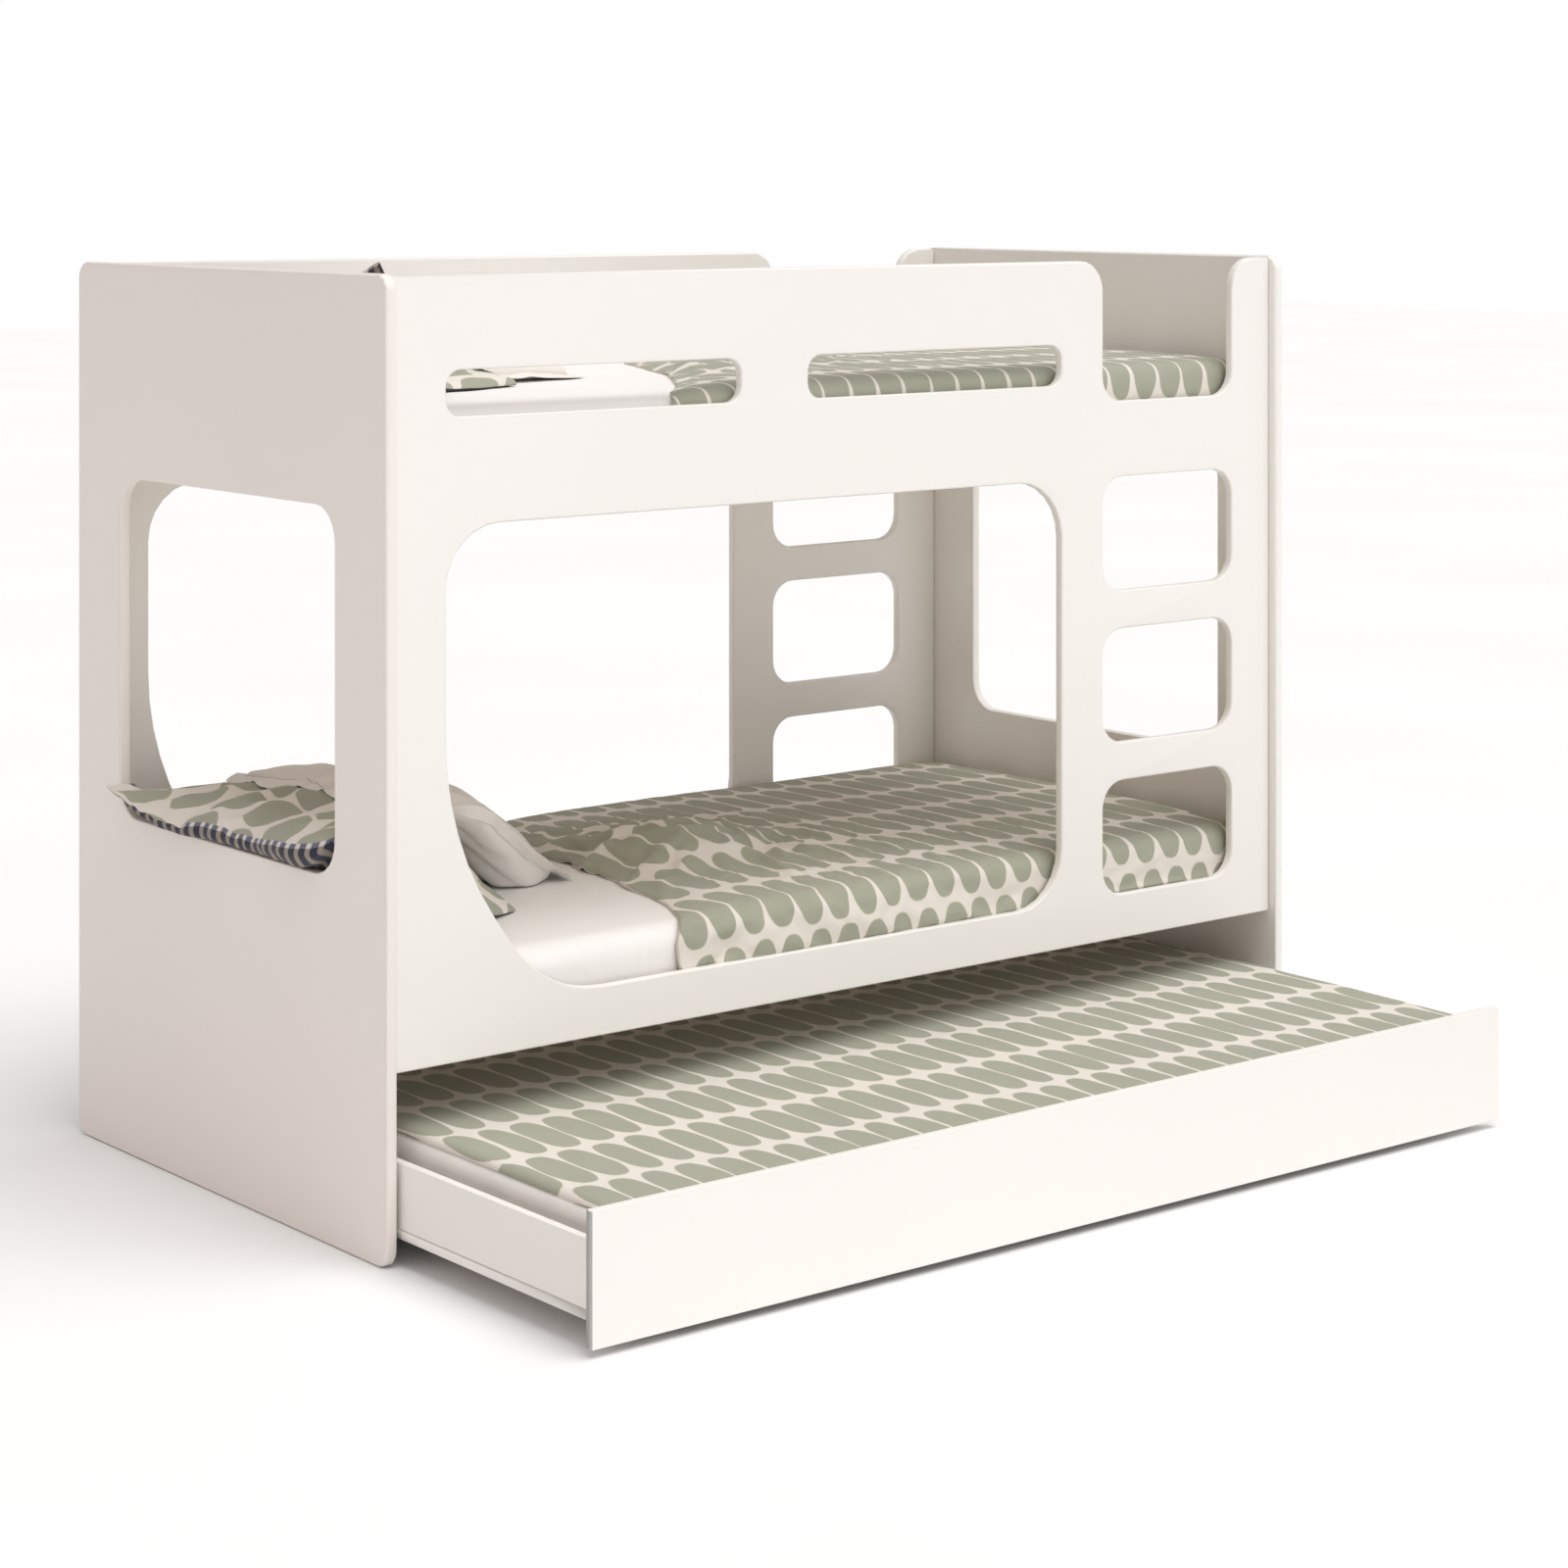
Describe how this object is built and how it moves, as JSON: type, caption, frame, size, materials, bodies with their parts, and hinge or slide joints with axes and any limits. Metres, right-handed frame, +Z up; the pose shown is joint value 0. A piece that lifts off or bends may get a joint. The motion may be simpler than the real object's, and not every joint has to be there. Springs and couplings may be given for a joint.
{
  "type": "bunk bed with trundle",
  "caption": "Panel bunk bed for children with cut-out ladder, guard rails, made-up mattresses and a low trundle bed that rolls out at the front.",
  "frame": {"origin": "on the floor under the middle of the whole object as it stands, with the trundle pulled out", "axes": "+X runs from the pillow end to the ladder end, +Y from the trundle's front board to the back panel, +Z up"},
  "size_m": [1.96, 1.517, 1.51],
  "materials": {
    "lacquered_board": "satin off-white lacquer over board",
    "pine": "planed",
    "mattress_ticking": "woven cover over foam",
    "white_cotton": "plain weave",
    "cream_cotton": "plain weave",
    "printed_cotton": "plain weave, printed with rows of sage ovals",
    "printed_pillowcase": "plain weave, printed with sage spots, ticking stripe underneath",
    "plain_pillowcase": "washed plain weave with a piped edge",
    "zinc_steel": "zinc plated",
    "grey_nylon": "moulded"
  },
  "bodies": {
    "bed_frame": {"left_end_panel": "lacquered_board", "right_end_panel": "lacquered_board", "front_panel": "lacquered_board", "back_panel": "lacquered_board", "lower_front_cleat": "lacquered_board", "lower_back_cleat": "lacquered_board", "lower_slat_01": "pine", "lower_slat_02": "pine", "lower_slat_03": "pine", "lower_slat_04": "pine", "lower_slat_05": "pine", "lower_slat_06": "pine", "lower_slat_07": "pine", "lower_slat_08": "pine", "lower_slat_09": "pine", "lower_mattress": "mattress_ticking", "lower_fitted_sheet": "white_cotton", "lower_duvet": "printed_cotton", "lower_printed_pillow": "printed_pillowcase", "lower_plain_pillow": "plain_pillowcase", "upper_front_cleat": "lacquered_board", "upper_back_cleat": "lacquered_board", "upper_slat_01": "pine", "upper_slat_02": "pine", "upper_slat_03": "pine", "upper_slat_04": "pine", "upper_slat_05": "pine", "upper_slat_06": "pine", "upper_slat_07": "pine", "upper_slat_08": "pine", "upper_slat_09": "pine", "upper_mattress": "mattress_ticking", "upper_fitted_sheet": "white_cotton", "upper_duvet": "printed_cotton", "upper_printed_pillow": "printed_pillowcase", "upper_plain_pillow": "plain_pillowcase"},
    "trundle": {"trundle_front_board": "lacquered_board", "trundle_base_board": "lacquered_board", "trundle_left_side": "lacquered_board", "trundle_right_side": "lacquered_board", "trundle_back_board": "lacquered_board", "trundle_mattress": "mattress_ticking", "trundle_fitted_sheet": "cream_cotton", "trundle_cover": "printed_cotton", "front_left_castor_bracket": "zinc_steel", "front_left_castor_axle": "zinc_steel", "front_right_castor_bracket": "zinc_steel", "front_right_castor_axle": "zinc_steel", "back_left_castor_bracket": "zinc_steel", "back_left_castor_axle": "zinc_steel", "back_right_castor_bracket": "zinc_steel", "back_right_castor_axle": "zinc_steel"},
    "front_left_castor_wheel": {"front_left_castor_wheel": "grey_nylon"},
    "front_right_castor_wheel": {"front_right_castor_wheel": "grey_nylon"},
    "back_left_castor_wheel": {"back_left_castor_wheel": "grey_nylon"},
    "back_right_castor_wheel": {"back_right_castor_wheel": "grey_nylon"}
  },
  "joints": [
    {"name": "trundle_slide", "type": "slide", "parent": "bed_frame", "child": "trundle", "axis": [0, -1, 0], "range_m": [-0.505, 0.42]},
    {"name": "front_left_castor_roll", "type": "hinge", "parent": "trundle", "child": "front_left_castor_wheel", "pos_m": [-0.858, -0.6482, 0.018], "axis": [1, 0, 0], "continuous": true},
    {"name": "front_right_castor_roll", "type": "hinge", "parent": "trundle", "child": "front_right_castor_wheel", "pos_m": [0.858, -0.6482, 0.018], "axis": [1, 0, 0], "continuous": true},
    {"name": "back_left_castor_roll", "type": "hinge", "parent": "trundle", "child": "back_left_castor_wheel", "pos_m": [-0.858, 0.1118, 0.018], "axis": [1, 0, 0], "continuous": true},
    {"name": "back_right_castor_roll", "type": "hinge", "parent": "trundle", "child": "back_right_castor_wheel", "pos_m": [0.858, 0.1118, 0.018], "axis": [1, 0, 0], "continuous": true}
  ],
  "couplings": [
    {"joint": "front_left_castor_roll", "follows": "trundle_slide", "rad_per_m": 55.556},
    {"joint": "front_right_castor_roll", "follows": "trundle_slide", "rad_per_m": 55.556},
    {"joint": "back_left_castor_roll", "follows": "trundle_slide", "rad_per_m": 55.556},
    {"joint": "back_right_castor_roll", "follows": "trundle_slide", "rad_per_m": 55.556}
  ]
}
